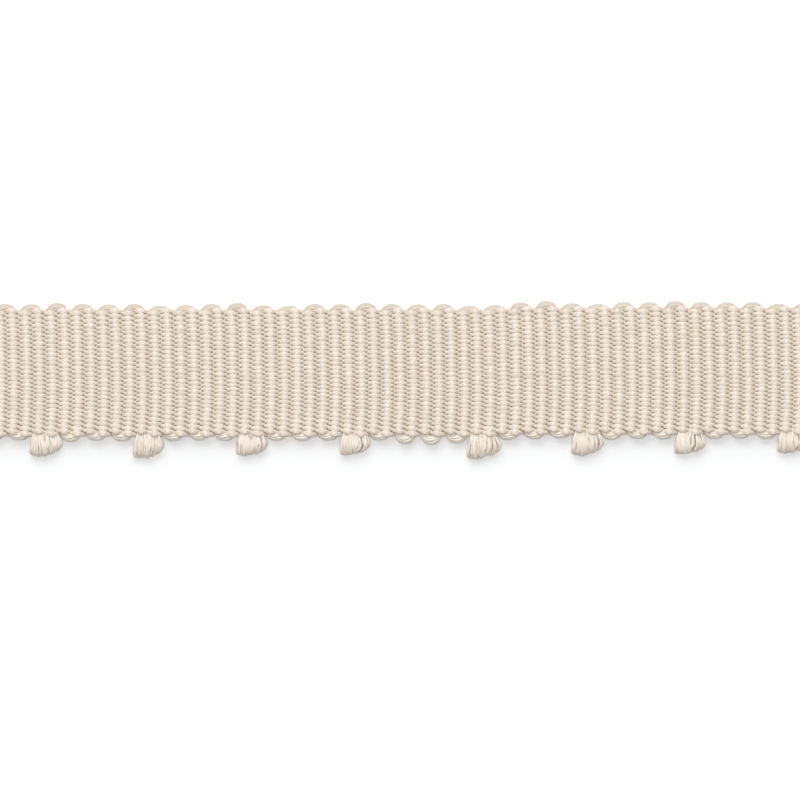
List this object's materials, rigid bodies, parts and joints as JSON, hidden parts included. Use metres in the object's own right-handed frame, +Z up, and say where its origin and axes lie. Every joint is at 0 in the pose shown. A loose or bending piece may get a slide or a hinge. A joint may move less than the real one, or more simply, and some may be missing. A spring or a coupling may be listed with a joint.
{
  "type": "picot-edge grosgrain ribbon",
  "caption": "Cream picot-edge grosgrain ribbon lying flat, with thick cross ribs, a scalloped upper edge and small strand loops along the lower edge.",
  "frame": {"origin": "under the middle of the whole outline, picots included, on the surface that the ribbon lies on", "axes": "+X along the ribbon, +Y across it towards the scalloped edge, with the picots on the -Y side, +Z up from the surface"},
  "size_m": [0.1058, 0.0184, 0.0015],
  "materials": {
    "cream_yarn": "soft satin sheen, fine ribbed weave"
  },
  "bodies": {
    "root": {"picot_ribbon": "cream_yarn"}
  },
  "joints": []
}
